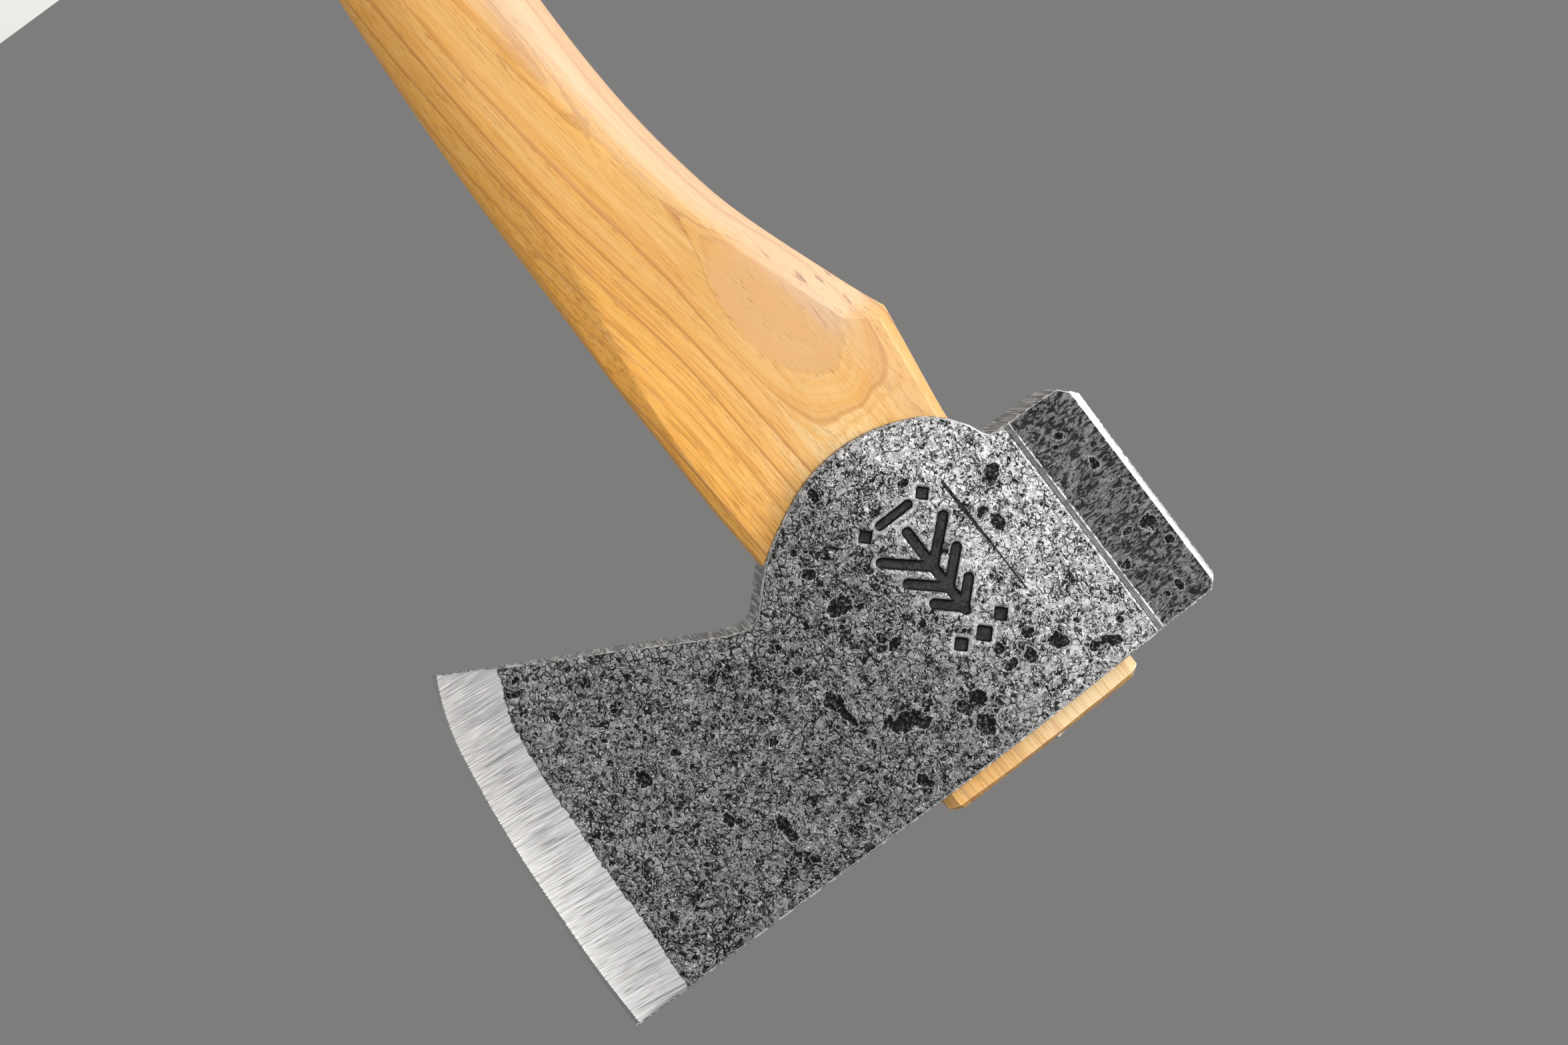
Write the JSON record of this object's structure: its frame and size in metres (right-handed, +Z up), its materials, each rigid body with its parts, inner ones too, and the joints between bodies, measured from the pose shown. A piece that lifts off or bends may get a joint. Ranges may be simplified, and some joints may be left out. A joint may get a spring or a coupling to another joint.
{
  "type": "hatchet",
  "caption": "Bearded carving hatchet: forged steel head with a ground bevel, hung and wedged on a curved wooden haft with a swelled butt.",
  "frame": {"origin": "middle of the grip: on the haft's mid-plane and centre line, 300 mm below the head's top line", "axes": "+Z up the haft towards the top of the head, +X towards the cutting edge, Y across the thickness with the mid-plane at Y = 0"},
  "size_m": [0.1485, 0.0308, 0.4014],
  "materials": {
    "forged_steel": "pitted forging scale, bevel and rims ground bright",
    "haft_wood": "clear oiled, straight grain",
    "wedge_wood": "cut end, unfinished",
    "wedge_steel": "filed flush, dull"
  },
  "bodies": {
    "root": {"head": "forged_steel", "haft": "haft_wood", "wood_wedge": "wedge_wood", "steel_wedge": "wedge_steel"}
  },
  "joints": []
}
